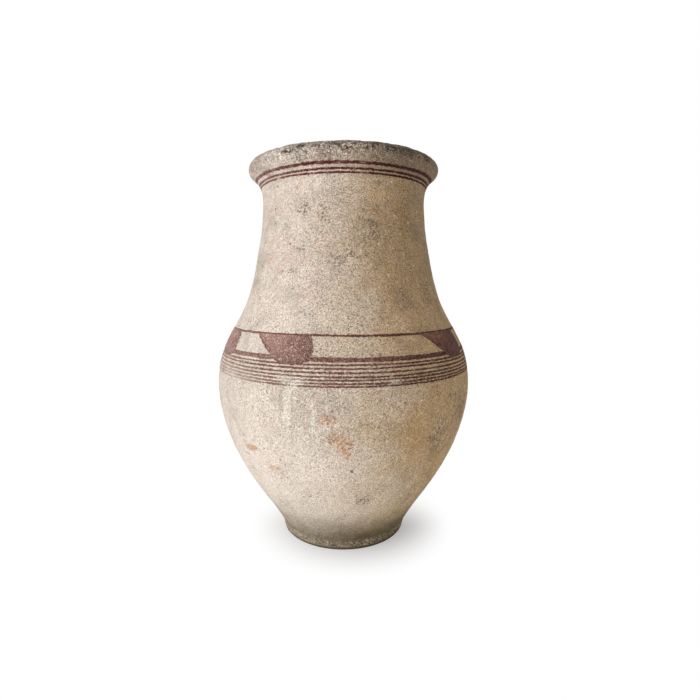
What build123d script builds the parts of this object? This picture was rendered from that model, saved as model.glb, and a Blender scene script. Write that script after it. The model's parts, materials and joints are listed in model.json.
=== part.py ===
from build123d import *
import os
from math import cos, radians, sin, tan

# Greek pithos: a tall storage jar built up from luted clay courses and painted with slip.
# Millimetres, Z up, origin at the centre of the standing face. The front looks along -Y.

os.makedirs("parts", exist_ok=True)

# Base disc: the floor, whose edge shows outside as the low foot
BASE_HEIGHT = 27.0
FOOT_RADIUS = 154.5
BASE_TOP_RADIUS = 161.5
FOOT_WEAR = 2.5

# Wall courses: the height of each stage of building and the outer radius at its top edge
LOWER_WALL_HEIGHT = 113.0
LOWER_WALL_RADIUS = 231.3
MIDDLE_WALL_HEIGHT = 118.0
MIDDLE_WALL_RADIUS = 287.3
BELLY_HEIGHT = 120.0
BELLY_RADIUS = 309.2
UPPER_BELLY_HEIGHT = 92.0
UPPER_BELLY_RADIUS = 292.0
SHOULDER_HEIGHT = 90.0
SHOULDER_RADIUS = 244.6
LOWER_NECK_HEIGHT = 130.0
LOWER_NECK_RADIUS = 207.9
UPPER_NECK_HEIGHT = 122.0
UPPER_NECK_RADIUS = 194.6
WALL = 20.0
FOOT_LEAN = 27.0  # degrees that the wall leans out where it leaves the base

# Luted seam between two courses: a wedge on the upper one seats in a groove in the lower one
SEAM_WIDTH = 10.0
SEAM_DEPTH = 7.0

# Floor coil: pressed into the inside corner, with a hollow face
COIL_REACH = 34.0
COIL_RISE = 44.0
COIL_HOLLOW = 5.0

# Rim: the flare, the rounded lip and the mouth, with heights measured down from the crest
RIM_HEIGHT = 88.0
FLARE_RADIUS = 214.0
FLARE_DROP = 39.0
FLARE_LEAN = 52.0  # degrees that the flare leans out there
LIP_RADIUS = 225.4
LIP_DROP = 19.0
CREST_RADIUS = 190.0
MOUTH_ROUNDING = 12.0
MOUTH_DROP = 22.0

# Painted slip: every stroke is a skin of this thickness, just clear of the clay
PAINT = 0.5
PAINT_CLEARANCE = 0.1

# Lines under the lip: how far below the crest each one lies, and how tall it is
RIM_LINE_DROPS = (45.0, 55.0, 61.6)
RIM_LINE_HEIGHTS = (4.2, 3.4, 3.0)

# Belly lines: the broad band covers the seam under the shoulder, and thin hand-drawn lines follow below it
BROAD_BAND_RISE = 1.4
BROAD_BAND_HEIGHT = 8.0
BELLY_LINE_STEPS = (9.8, 6.2, 8.0, 7.2, 6.7, 6.2, 5.4)
BELLY_LINE_HEIGHT = 3.0
SHOULDER_LINE_RISE = 45.8
SHOULDER_LINE_HEIGHT = 3.6

# Hanging panels: pairs of dark panels, each with one slanted side
PANEL_PAIRS = 3
PANEL_SPACING = 42.4  # degrees between the two panels of a pair
FIRST_PANEL_TURN = -70.0  # degrees from the front to the first panel
PANEL_TOP_WIDTH = 128.0
PANEL_FOOT_WIDTH = 84.0
PANEL_SIDE_SWELL = 4.0

COURSES = (
    ("lower_wall", LOWER_WALL_HEIGHT, LOWER_WALL_RADIUS),
    ("middle_wall", MIDDLE_WALL_HEIGHT, MIDDLE_WALL_RADIUS),
    ("belly", BELLY_HEIGHT, BELLY_RADIUS),
    ("upper_belly", UPPER_BELLY_HEIGHT, UPPER_BELLY_RADIUS),
    ("shoulder", SHOULDER_HEIGHT, SHOULDER_RADIUS),
    ("lower_neck", LOWER_NECK_HEIGHT, LOWER_NECK_RADIUS),
    ("upper_neck", UPPER_NECK_HEIGHT, UPPER_NECK_RADIUS),
)

# Stations of the outer face, one at each seam
stations = [(BASE_TOP_RADIUS, BASE_HEIGHT)]
for _, course_height, top_radius in COURSES:
    stations.append((top_radius, stations[-1][1] + course_height))
seam_height = {name: station[1] for (name, _, _), station in zip(COURSES, stations[1:])}
crest_height = stations[-1][1] + RIM_HEIGHT
clear_radius = max(radius for radius, _ in stations) + LIP_RADIUS


def save(piece, name):
    """Labels a finished piece and writes it to a file of its own."""
    piece.part.label = name
    export_step(piece.part, f"parts/{name}.step")


# Outer face of the wall as one fair curve through the stations
upright = (0, 1)
foot_slope = (sin(radians(FOOT_LEAN)), cos(radians(FOOT_LEAN)))
flare_slope = (sin(radians(FLARE_LEAN)), cos(radians(FLARE_LEAN)))
with BuildLine() as outer_face:
    Spline(*stations, tangents=(foot_slope, upright))
outer_curve = outer_face.edge()

# Inner face: set in from each station by the wall's thickness, measured square to the outer face
slopes = [outer_curve.tangent_at(outer_curve.param_at_point(station)) for station in stations]
inner_stations = [(radius - WALL / slope.Y, z) for (radius, z), slope in zip(stations, slopes)]


def seam(index):
    """The groove of one seam, from the outside in: three corners in the middle of the wall."""
    height = stations[index][1]
    middle = (stations[index][0] + inner_stations[index][0]) / 2
    return [
        (middle + SEAM_WIDTH / 2, height),
        (middle, height - SEAM_DEPTH),
        (middle - SEAM_WIDTH / 2, height),
    ]


# Section of the whole wall and rim, down to the wedge that seats in the base disc
with BuildSketch() as wall_section:
    with BuildLine():
        Spline(*stations, tangents=(foot_slope, upright))
        Spline(
            stations[-1],
            (FLARE_RADIUS, crest_height - FLARE_DROP),
            (LIP_RADIUS, crest_height - LIP_DROP),
            tangents=(upright, flare_slope, upright),
        )
        lip_centre = (CREST_RADIUS, crest_height - LIP_DROP)
        EllipticalCenterArc(lip_centre, LIP_RADIUS - CREST_RADIUS, LIP_DROP, start_angle=0, arc_size=90)
        mouth_centre = (CREST_RADIUS, crest_height - MOUTH_DROP)
        EllipticalCenterArc(mouth_centre, MOUTH_ROUNDING, MOUTH_DROP, start_angle=90, arc_size=90)
        mouth_edge = (CREST_RADIUS - MOUTH_ROUNDING, crest_height - MOUTH_DROP)
        Spline(inner_stations[-1], mouth_edge, tangents=(upright, upright))
        Spline(*inner_stations, tangents=(foot_slope, upright))
        Polyline(inner_stations[0], *reversed(seam(0)), stations[0])
    make_face()


def room_above(index):
    """Closed outline of the room from one seam up to the next, or past the crest from the last one."""
    floor = stations[index][1]
    if index + 1 < len(stations):
        ceiling = stations[index + 1][1]
        ceiling_groove = seam(index + 1)
    else:
        ceiling = crest_height + RIM_HEIGHT
        ceiling_groove = []
    return [
        (0, floor),
        *reversed(seam(index)),
        (clear_radius, floor),
        (clear_radius, ceiling),
        *ceiling_groove,
        (0, ceiling),
    ]


# Base disc, grooved on top for the wedge of the first course
with BuildPart() as base_disc:
    with BuildSketch(Plane.XZ):
        with BuildLine():
            Polyline(
                (0, 0),
                (FOOT_RADIUS, 0),
                stations[0],
                *seam(0),
                (0, BASE_HEIGHT),
                close=True,
            )
        make_face()
    revolve(axis=Axis.Z)
    fillet(base_disc.edges().group_by(Axis.Z)[0], radius=FOOT_WEAR)
save(base_disc, "base_disc")

# Floor coil: its back is the inner face of the wall
with BuildPart() as floor_coil:
    corner = inner_stations[0]
    floor_edge = (corner[0] - COIL_REACH, corner[1])
    behind_corner = (corner[0] + WALL / 4, corner[1])
    wall_edge = (behind_corner[0] + COIL_RISE * tan(radians(FOOT_LEAN)), corner[1] + COIL_RISE)
    with BuildSketch(Plane.XZ):
        with BuildLine():
            Polyline(floor_edge, behind_corner, wall_edge)
            SagittaArc(wall_edge, floor_edge, COIL_HOLLOW)
        make_face()
        add(wall_section.sketch, mode=Mode.SUBTRACT)
    revolve(axis=Axis.Z)
save(floor_coil, "floor_coil")

# Wall courses and the rim, each seated in the one below
for index, course_name in enumerate([*seam_height, "rim"]):
    with BuildPart() as course:
        with BuildSketch(Plane.XZ):
            add(wall_section.sketch)
            with BuildLine():
                Polyline(room_above(index), close=True)
            make_face(mode=Mode.INTERSECT)
        revolve(axis=Axis.Z)
    save(course, course_name)


def painted_band(middle, height, shift):
    """The part of the wall's section beside a stroke, shifted outwards."""
    with BuildSketch() as band:
        with Locations((shift, 0)):
            add(wall_section.sketch)
        with Locations((0, middle)):
            Rectangle(2 * clear_radius, height, mode=Mode.INTERSECT)
    return band.sketch


def painted_ring(name, middle, height):
    """One painted line right round the jar, straight across its width."""
    outer_edge = painted_band(middle, height, PAINT_CLEARANCE).edges().sort_by(Axis.X)[-1]
    foot, top = outer_edge.vertices().sort_by(Axis.Y)
    with BuildPart() as ring:
        with BuildSketch(Plane.XZ):
            with BuildLine():
                Polyline(
                    (foot.X, foot.Y),
                    (foot.X + PAINT, foot.Y),
                    (top.X + PAINT, top.Y),
                    (top.X, top.Y),
                    close=True,
                )
            make_face()
        revolve(axis=Axis.Z)
    save(ring, name)


# Lines under the lip
for number, (drop, height) in enumerate(zip(RIM_LINE_DROPS, RIM_LINE_HEIGHTS), start=1):
    painted_ring(f"rim_line_{number}", crest_height - drop, height)

# Shoulder line, broad band and the thin lines below it
shoulder_line_middle = seam_height["upper_belly"] + SHOULDER_LINE_RISE
band_middle = seam_height["upper_belly"] + BROAD_BAND_RISE
painted_ring("shoulder_line", shoulder_line_middle, SHOULDER_LINE_HEIGHT)
painted_ring("broad_band", band_middle, BROAD_BAND_HEIGHT)
line_middle = band_middle
for number, step in enumerate(BELLY_LINE_STEPS, start=1):
    line_middle -= step
    painted_ring(f"belly_line_{number}", line_middle, BELLY_LINE_HEIGHT)

# Hanging panels: from the shoulder line down to the broad band, cut out of a painted skin
panel_top = shoulder_line_middle - SHOULDER_LINE_HEIGHT / 2
panel_foot = band_middle + BROAD_BAND_HEIGHT / 2
panel_middle = (panel_top + panel_foot) / 2
for number in range(2 * PANEL_PAIRS):
    turn = radians(FIRST_PANEL_TURN + 360 / PANEL_PAIRS * (number // 2) + PANEL_SPACING * (number % 2))
    facing = Plane((0, 0, 0), x_dir=(cos(turn), sin(turn), 0), z_dir=(sin(turn), -cos(turn), 0))
    with BuildPart() as panel:
        with BuildSketch(Plane.XZ):
            add(painted_band(panel_middle, panel_top - panel_foot, PAINT_CLEARANCE + PAINT))
            add(painted_band(panel_middle, panel_top - panel_foot, PAINT_CLEARANCE), mode=Mode.SUBTRACT)
        revolve(axis=Axis.Z)
        with BuildSketch(facing):
            with BuildLine():
                top_left = (-PANEL_TOP_WIDTH / 2, panel_top)
                top_right = (PANEL_TOP_WIDTH / 2, panel_top)
                foot_right = (PANEL_TOP_WIDTH / 2, panel_foot)
                foot_left = (PANEL_TOP_WIDTH / 2 - PANEL_FOOT_WIDTH, panel_foot)
                Polyline(foot_right, foot_left, top_left, top_right)
                ThreePointArc(top_right, (PANEL_TOP_WIDTH / 2 + PANEL_SIDE_SWELL, panel_middle), foot_right)
            make_face()
        extrude(amount=clear_radius, mode=Mode.INTERSECT)
    save(panel, f"hanging_panel_{number + 1}")
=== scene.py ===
"""Looks of a Greek pithos: luted clay courses under a coarse cream slip, painted in red-brown."""

import json
import math
from bisect import bisect

import bmesh
import bpy
from bpy.props import FloatProperty, FloatVectorProperty, IntProperty, PointerProperty
from bpy.types import Operator, Panel, PropertyGroup
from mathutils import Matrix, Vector, noise

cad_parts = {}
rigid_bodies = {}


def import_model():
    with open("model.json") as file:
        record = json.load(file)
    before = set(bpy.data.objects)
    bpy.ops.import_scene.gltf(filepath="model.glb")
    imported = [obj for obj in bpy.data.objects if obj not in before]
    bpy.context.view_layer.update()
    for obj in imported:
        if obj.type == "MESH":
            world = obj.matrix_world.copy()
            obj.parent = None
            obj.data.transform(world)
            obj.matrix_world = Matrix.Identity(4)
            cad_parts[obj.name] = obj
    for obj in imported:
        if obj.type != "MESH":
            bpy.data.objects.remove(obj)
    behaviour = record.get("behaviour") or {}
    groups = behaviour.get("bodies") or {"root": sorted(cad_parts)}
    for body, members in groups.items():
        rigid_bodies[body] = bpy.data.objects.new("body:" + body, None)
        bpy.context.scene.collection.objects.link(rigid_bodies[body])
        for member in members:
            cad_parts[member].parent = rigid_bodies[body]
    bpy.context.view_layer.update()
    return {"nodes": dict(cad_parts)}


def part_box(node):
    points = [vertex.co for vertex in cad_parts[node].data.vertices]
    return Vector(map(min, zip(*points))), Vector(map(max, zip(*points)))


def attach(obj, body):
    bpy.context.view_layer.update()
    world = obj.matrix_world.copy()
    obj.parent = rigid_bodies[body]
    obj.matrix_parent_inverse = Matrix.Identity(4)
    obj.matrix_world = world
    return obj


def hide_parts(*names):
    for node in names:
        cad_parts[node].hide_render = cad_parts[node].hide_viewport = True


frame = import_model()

bl_info = {
    "name": "Greek pithos",
    "version": (1, 0, 0),
    "blender": (4, 5, 0),
    "location": "View3D > Sidebar > Pithos",
    "description": "Models the clay courses, the painted strokes and the stage of a tall storage jar",
    "category": "Object",
}

MM = 0.001
UP = Vector((0, 0, 1))

# Clay pieces from the ground up, and the painted strokes
COURSES = (
    "base_disc", "lower_wall", "middle_wall", "belly", "upper_belly",
    "shoulder", "lower_neck", "upper_neck", "rim",
)
RIM_LINES = sorted(name for name in frame["nodes"] if name.startswith("rim_line"))
BELLY_LINES = sorted(name for name in frame["nodes"] if name.startswith("belly_line"))
PANELS = sorted(name for name in frame["nodes"] if name.startswith("hanging_panel"))

# Heights of the seams between the courses, of the crest of the lip, and of the floor inside
SEAMS = [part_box(name)[1].z for name in COURSES[:-1]]
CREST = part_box("rim")[1].z
FLOOR = SEAMS[0]


def length(name, description, default):
    """A size in metres that a user may change."""
    return FloatProperty(name=name, description=description, default=default, unit="LENGTH", precision=5)


def angle(name, description, degrees):
    """An angle that a user may change."""
    return FloatProperty(name=name, description=description, default=math.radians(degrees), subtype="ANGLE")


def share(name, description, default):
    """A share from 0 to 1 that a user may change."""
    return FloatProperty(name=name, description=description, default=default, min=0, max=1, subtype="FACTOR")


def tone(name, description, red, green, blue):
    """A colour that a user may change."""
    return FloatVectorProperty(
        name=name, description=description, default=(red, green, blue), min=0, max=1, size=3, subtype="COLOR"
    )


class PithosSizes(PropertyGroup):
    """Sizes of the hand-made surface: its unevenness, its seams and its painted strokes."""

    turns: IntProperty(name="Steps", description="Steps of the surface round the jar", default=600, min=60)
    outer_step: length("Outer step", "Spacing of the section's points up the outside", 12 * MM)
    inner_step: length("Inner step", "Spacing of the section's points down the inside", 30 * MM)
    ridge: length("Ridges", "Depth of the level ridges that fingers leave on the wall", 0.5 * MM)
    lump: length("Lumps", "Depth of the broad unevenness of a hand-built wall", 3.0 * MM)
    lump_size: length("Lump size", "Width of the broad unevenness", 110 * MM)
    dent: length("Dents", "Depth of the small unevenness of the coarse slip", 1.0 * MM)
    dent_size: length("Dent size", "Width of the small unevenness", 20 * MM)
    pit: length("Pits", "Depth of the pits where grit fell out", 1.2 * MM)
    pit_size: length("Pit spacing", "Distance between neighbouring pits", 45 * MM)
    chip: length("Chips", "Depth of the wear along the lip and the foot", 3.5 * MM)
    chip_size: length("Chip size", "Width of the wear along the lip and the foot", 16 * MM)
    seam_depth: length("Seam depth", "How far a course's wedge reaches into the groove below it", 7 * MM)
    film: length("Paint", "How far a painted stroke stands above the clay", 0.3 * MM)
    wander: length("Wander", "How far the painter's hand strays from a level line", 0.9 * MM)
    ragged: length("Ragged edge", "How uneven the edge of a stroke is", 1.6 * MM)
    spread: length("Spread", "How far the paint has spread past each edge of a drawn line", 0.35 * MM)
    panel_reach: length("Panel reach", "How far below its top a hanging panel ends", 54 * MM)
    finger: length("Finger dents", "Depth of the finger marks on the floor coil", 2.5 * MM)


class PithosColours(PropertyGroup):
    """Colours of the slip, the clay, the paint and the stains."""

    cream: tone("Cream slip", "Clean slip on the sheltered side", 0.70, 0.615, 0.535)
    beige: tone("Beige slip", "Slip that has lost its whiteness", 0.63, 0.53, 0.42)
    # The brown slip on the weathered side is partly painted shade
    brown: tone("Brown slip", "Slip on the weathered side", 0.535, 0.355, 0.182)
    rose: tone("Rose bloom", "Rosy bloom in the slip", 0.62, 0.47, 0.395)
    grey: tone("Grey bloom", "Grey bloom in the slip", 0.48, 0.405, 0.345)
    grit: tone("Grit", "Dark grains in the coarse slip", 0.13, 0.09, 0.058)
    chalk: tone("Chalk", "Chalky white where the surface is rubbed", 0.76, 0.69, 0.61)
    soot: tone("Soot", "Dark growth on the top of the lip", 0.03, 0.027, 0.024)
    patina: tone("Patina", "Dirt on the lip and in the smudges", 0.16, 0.12, 0.085)
    earth: tone("Earth", "Earth stain round the foot", 0.165, 0.13, 0.07)
    # This colour also gives the painted contact shade at the ground
    mould_and_contact_shade: tone("Mould", "Darkest stain at the ground", 0.075, 0.06, 0.038)
    sand: tone("Sand", "Bare sandy clay on worn edges", 0.52, 0.43, 0.31)
    rust: tone("Rust", "Orange scuffs", 0.47, 0.215, 0.09)
    ochre: tone("Ochre", "Ochre stain down the neck", 0.47, 0.29, 0.12)
    clay: tone("Bare clay", "Unslipped clay inside the jar", 0.36, 0.22, 0.135)
    wine: tone("Wine paint", "Paint of the lines under the lip", 0.10, 0.022, 0.022)
    # Darker paint on the weathered side is painted shade
    shaded_wine: tone("Deep wine paint", "Paint under the lip on the weathered side", 0.034, 0.007, 0.005)
    paint: tone("Paint", "Red-brown paint of the band and the belly lines", 0.165, 0.066, 0.052)
    panel: tone("Panel paint", "Paler paint of the hanging panels", 0.225, 0.108, 0.096)
    # Painted shade on the weathered side, and paint pooled along the panels' edges
    pooled_and_shaded_paint: tone("Deep paint", "Paint on the weathered side", 0.066, 0.021, 0.015)
    # Paler paint where it lies thin, and painted light on the lit left side
    thin_and_lit_paint: tone("Thin paint", "Paler paint where it lies thin", 0.37, 0.21, 0.18)
    floor: tone("Floor", "Pale floor", 0.85, 0.85, 0.85)


class PithosStage(PropertyGroup):
    """The camera and the light."""

    distance: length("Distance", "Distance from the jar's axis to the camera", 1.1486)
    eye: length("Eye height", "Height of the camera above the floor", 0.6066)
    pitch: angle("Pitch", "How far the camera looks down", 7.563)
    focal: FloatProperty(name="Focal length", description="Focal length in millimetres", default=23.395)
    key_turn: angle("Key turn", "Turn of the key light from the front, to the right", -51)
    key_rise: angle("Key rise", "Height of the key light as an angle", 23)
    key_distance: length("Key distance", "Distance of the key light", 3.6)
    key_size: length("Key size", "Side of the square key light", 3.0)
    key_power: FloatProperty(name="Key power", description="Power of the key light in watts", default=86)
    sky: share("Sky", "Brightness of the even light from all sides", 0.43)
    floor_glow: share("Floor glow", "Share of plain white in the floor that is seen beside the jar", 0.32)
    bounce: share("Bounce", "Share of plain white in the floor as it lights the jar from below", 0.95)


# Section of the wall, read from the frame

CLEAR = 0.5
INSET = 0.1 * MM
FOOT_EDGE_CENTRE = (148 * MM, 7 * MM)
LIP_CENTRE = (200 * MM, CREST - 22 * MM)
LIP_START = CREST - 44 * MM
MOUTH_END = CREST - 40 * MM
EDGE_STEP = 15


def outward(turn):
    """The level direction that lies a turn from the front, towards the right."""
    return Vector((math.sin(turn), -math.cos(turn), 0))


SECTION = outward(math.radians(91))


def clay_hit(node, start, aim):
    """Radius and height of the place where a straight line meets a node."""
    found, place, _, _ = frame["nodes"][node].ray_cast(start, aim)
    if not found:
        raise RuntimeError(f"the line from {tuple(start)} misses {node}")
    return Vector((place.xy.length, place.z))


def outer_point(node, height):
    """The place on the outside of a node at a height."""
    return clay_hit(node, SECTION * CLEAR + UP * height, -SECTION)


def inner_point(node, height):
    """The place on the inside of a node at a height."""
    return clay_hit(node, UP * height, SECTION)


def wall_radius(height):
    """Radius of the jar's outside at a height."""
    return outer_point(COURSES[bisect(SEAMS, height)], height).x


def edge_points(node, centre, first, last):
    """Places round an edge, seen from inside the clay; angles are degrees up from level."""
    start = SECTION * centre[0] + UP * centre[1]
    points = []
    for degrees in range(first, last + 1, EDGE_STEP):
        aim = SECTION * math.cos(math.radians(degrees)) + UP * math.sin(math.radians(degrees))
        points.append(clay_hit(node, start, aim))
    return points


def run_points(node, side, low, high, step, ridge):
    """Places up one side of a course, the last of them at its top."""
    count = round((high - low) / step)
    points = []
    for index in range(1, count + 1):
        height = low + (high - low) * index / count
        radius = side(node, height - INSET).x
        mark = ridge * (noise.noise(Vector((radius, 0, height / step))) - 1) / 2
        points.append(Vector((radius + mark, height)))
    return points


def jar_section(sizes):
    """The jar's section from the middle of its underside, over the lip, to the middle of its floor."""
    foot = edge_points("base_disc", FOOT_EDGE_CENTRE, -90, 0)
    points = [Vector((foot[0].x * part, 0)) for part in (0, 0.25, 0.5, 0.75)] + foot
    lows = [FOOT_EDGE_CENTRE[1]] + SEAMS
    highs = SEAMS + [LIP_START]
    for node, low, high in zip(COURSES, lows, highs):
        points += run_points(node, outer_point, low, high, sizes.outer_step, sizes.ridge)
    points += edge_points("rim", LIP_CENTRE, -45, 195)
    highs[-1] = MOUTH_END
    for node, low, high in reversed(list(zip(COURSES[1:], lows[1:], highs[1:]))):
        points += reversed(run_points(node, inner_point, low, high, sizes.inner_step, sizes.ridge))
    corner = inner_point(COURSES[1], FLOOR + INSET)
    points.append(Vector((corner.x, FLOOR)))
    points += [Vector((corner.x * part, FLOOR)) for part in (0.75, 0.5, 0.25, 0)]
    return points


# Modelling by hand

MERGE = 0.01 * MM
CREASED = math.radians(50)


def deselect():
    """Leaves object mode with nothing selected."""
    if bpy.context.object and bpy.context.object.mode != "OBJECT":
        bpy.ops.object.mode_set(mode="OBJECT")
    bpy.ops.object.select_all(action="DESELECT")


def pick(piece):
    """Makes one piece the only selected object."""
    deselect()
    piece.select_set(True)
    bpy.context.view_layer.objects.active = piece


def edit(piece):
    """Opens one piece in edit mode with nothing selected in it."""
    pick(piece)
    bpy.ops.object.mode_set(mode="EDIT")
    bpy.ops.mesh.select_all(action="DESELECT")


def added(name):
    """Names the object that the last operator added."""
    piece = bpy.context.object
    piece.name = name
    piece.data.name = name
    return piece


def apply_modifier(piece, kind, **settings):
    """Adds a modifier to a piece and applies it."""
    pick(piece)
    modifier = piece.modifiers.new(kind.title(), kind)
    for key, setting in settings.items():
        setattr(modifier, key, setting)
    bpy.ops.object.modifier_apply(modifier=modifier.name)


def cloud(name, size, depth, basis="IMPROVED_PERLIN"):
    """A cloudy pattern for a Displace modifier."""
    pattern = bpy.data.textures.new(name, "CLOUDS")
    pattern.noise_scale = size
    pattern.noise_depth = depth
    pattern.noise_basis = basis
    return pattern


def spun_profile(name, points, resolution):
    """Draws a section as a smooth curve and makes it a mesh; the spin comes after its groups are set."""
    deselect()
    bpy.ops.curve.primitive_bezier_curve_add()
    drawn = added(name)
    drawn.data.resolution_u = resolution
    spline = drawn.data.splines[0]
    spline.bezier_points.add(len(points) - len(spline.bezier_points))
    for knot, point in zip(spline.bezier_points, points):
        knot.handle_left_type = "AUTO"
        knot.handle_right_type = "AUTO"
        knot.co = SECTION * point.x + UP * point.y
    bpy.ops.object.convert(target="MESH")
    return bpy.context.object


def face_outwards(piece):
    """Turns all faces of a piece the same way, outwards where it is closed."""
    edit(piece)
    bpy.ops.mesh.select_all(action="SELECT")
    bpy.ops.mesh.normals_make_consistent(inside=False)
    bpy.ops.object.mode_set(mode="OBJECT")


def spin(piece, steps):
    """Turns a profile once round the jar's axis and closes it."""
    apply_modifier(piece, "SCREW", axis="Z", angle=math.tau, steps=steps, render_steps=steps)
    edit(piece)
    bpy.ops.mesh.select_all(action="SELECT")
    bpy.ops.mesh.remove_doubles(threshold=MERGE)
    face_outwards(piece)


def settle(piece, node, finish):
    """Gives a finished piece its material, its smooth faces and its place on the jar."""
    pick(piece)
    bpy.ops.object.shade_smooth_by_angle(angle=CREASED)
    piece.data.materials.clear()
    piece.data.materials.append(finish)
    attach(piece, "root")
    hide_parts(node)


# Shader values

class Value:
    """A number, a colour or a place that a shader node gives."""

    def __init__(self, tree, socket):
        self.tree = tree
        self.socket = socket

    def node(self, kind, settings, sockets, output=0):
        """Adds a node with its settings, feeds its sockets, and gives one of its outputs."""
        made = self.tree.nodes.new(kind)
        for key, setting in settings.items():
            setattr(made, key, setting)
        for key, source in sockets.items():
            if isinstance(source, Value):
                self.tree.links.new(source.socket, made.inputs[key])
            else:
                made.inputs[key].default_value = source
        return Value(self.tree, made.outputs[output])

    def math(self, operation, *values):
        """A Math node on plain numbers and values."""
        return self.node("ShaderNodeMath", {"operation": operation}, dict(enumerate(values)))

    def __add__(self, other):
        return self.math("ADD", self, other)

    __radd__ = __add__

    def __sub__(self, other):
        return self.math("SUBTRACT", self, other)

    def __rsub__(self, other):
        return self.math("SUBTRACT", other, self)

    def __mul__(self, other):
        return self.math("MULTIPLY", self, other)

    __rmul__ = __mul__

    def at_least(self, other):
        """The larger of two values."""
        return self.math("MAXIMUM", self, other)

    def ramp(self, start, end):
        """0 before start, 1 past end, and smooth between; end may be the lower one."""
        sockets = {"Value": self, "From Min": start, "From Max": end}
        return self.node("ShaderNodeMapRange", {"interpolation_type": "SMOOTHSTEP"}, sockets)

    def mix(self, first, second):
        """A colour that goes from the first to the second as this value goes from 0 to 1."""
        ends = [end if isinstance(end, Value) else shade(end) for end in (first, second)]
        return self.node("ShaderNodeMix", {"data_type": "RGBA"}, {0: self, 6: ends[0], 7: ends[1]}, 2)

    def vector(self, operation, other, output=0):
        """A Vector Math node on this place or colour."""
        return self.node("ShaderNodeVectorMath", {"operation": operation}, {0: self, 1: other}, output)

    def scaled(self, factor):
        """This colour or place times a number."""
        return self.node("ShaderNodeVectorMath", {"operation": "SCALE"}, {0: self, "Scale": factor})

    def noise(self, size, detail=3.0, roughness=0.55):
        """Cloudy noise at this place, with lumps of a size in metres."""
        sockets = {"Vector": self, "Scale": 1 / size, "Detail": detail, "Roughness": roughness}
        return self.node("ShaderNodeTexNoise", {}, sockets)

    def grit(self, size):
        """Distance to the nearest of many scattered grains, in grain spacings."""
        return self.node("ShaderNodeTexVoronoi", {}, {"Vector": self, "Scale": 1 / size})

    def grains(self, size):
        """A random share from 0 to 1 for each of many small grains."""
        cells = self.node("ShaderNodeTexVoronoi", {}, {"Vector": self, "Scale": 1 / size}, "Color")
        return cells.vector("DOT_PRODUCT", (1, 0, 0), 1)


def shade(colour):
    """A colour as a shader socket takes it."""
    return (*colour, 1.0)


class JarPlace:
    """Where on the jar a shader is: its place, its height, its level direction and the unrolled wall."""

    UNROLL = 0.3

    def __init__(self, tree):
        coordinate = tree.nodes.new("ShaderNodeTexCoord")
        self.place = Value(tree, coordinate.outputs["Object"])
        across, deep, self.height = (
            self.place.node("ShaderNodeSeparateXYZ", {}, {0: self.place}, output) for output in range(3)
        )
        turn = across.math("ARCTAN2", across, 0 - deep)
        unrolled = {0: turn * self.UNROLL, 1: self.height}
        self.unrolled = turn.node("ShaderNodeCombineXYZ", {}, unrolled)
        self.level = self.place.vector("MULTIPLY", (1, 1, 0)).vector("NORMALIZE", (0, 0, 0))
        self.cloudy = self.place.noise(0.02, 4, 0.65)

    def facing(self, degrees):
        """1 where the wall faces that turn from the front, and -1 on the other side."""
        return self.level.vector("DOT_PRODUCT", outward(math.radians(degrees)), 1)

    def patch(self, degrees, height, wide, tall, ragged=1.1):
        """A ragged stain at a turn and a height: 1 in its middle and 0 outside."""
        middle = (math.radians(degrees) * self.UNROLL, height, 0)
        off = self.unrolled.vector("SUBTRACT", middle).vector("MULTIPLY", (1 / wide, 1 / tall, 0))
        spread = off.vector("LENGTH", (0, 0, 0), 1) + (self.cloudy - 0.5) * (2 * ragged)
        return spread.ramp(1.0, 0.35)

    def patches(self, stains):
        """Several stains of one kind as one mask."""
        masks = [self.patch(*stain) for stain in stains]
        total = masks[0]
        for mask in masks[1:]:
            total = total.at_least(mask)
        return total


# Turns from the front, in degrees to the right: of the weathered side, which is also painted darker and
# browner as painted shade; of the far left edge, where the slip gets painted shade; and of other sides that
# marks favour

WEATHERED_AND_SHADED = 75
FAR_LEFT = -85
FOOT_SIDE = -45
LIP_FRONT = 15

# Heights between which a mark fades in: none at the first and full at the second

LOWER_GRAIN = (0.15, 0.38)
UPPER_GRAIN = (0.40, 0.56)
CALM_GRIT = (0.40, 0.16)
RELIEF = (0.30, 0.50)
NECK = (0.48, 0.70)
NECK_TOP = (0.76, 0.84)
SHOULDER_LOW = (0.46, 0.52)
SHOULDER_HIGH = (0.64, 0.55)
LOW_WALL = (0.34, 0.22)
ABOVE_FOOT = (0.07, 0.17)
FADED_LINES = (0.46, 0.42)
LIP = (CREST - 0.065, CREST - 0.035)
LIP_DIRT = (CREST - 0.055, CREST - 0.025)
LIP_GRAIN = (CREST - 0.050, CREST - 0.030)
LIP_GROWTH = (CREST - 0.038, CREST - 0.018)
BARE_INSIDE = (CREST - 0.045, CREST - 0.055)
SAND = (0.26, 0.05)
EARTH = (0.130, 0.028)
FOOT_GRAIN = (0.12, 0.05)
DAMP = (0.065, 0.015)
CREASE_HIGH = (0.042, 0.030)
CREASE_LOW = (0.018, 0.025)
RIDGE_HIGH = (0.030, 0.020)
RIDGE_LOW = (0.004, 0.010)
GROUND = (0.009, 0.002)

# Stains: turn from the front in degrees, height, half width, half height, and how ragged where that is given

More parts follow.
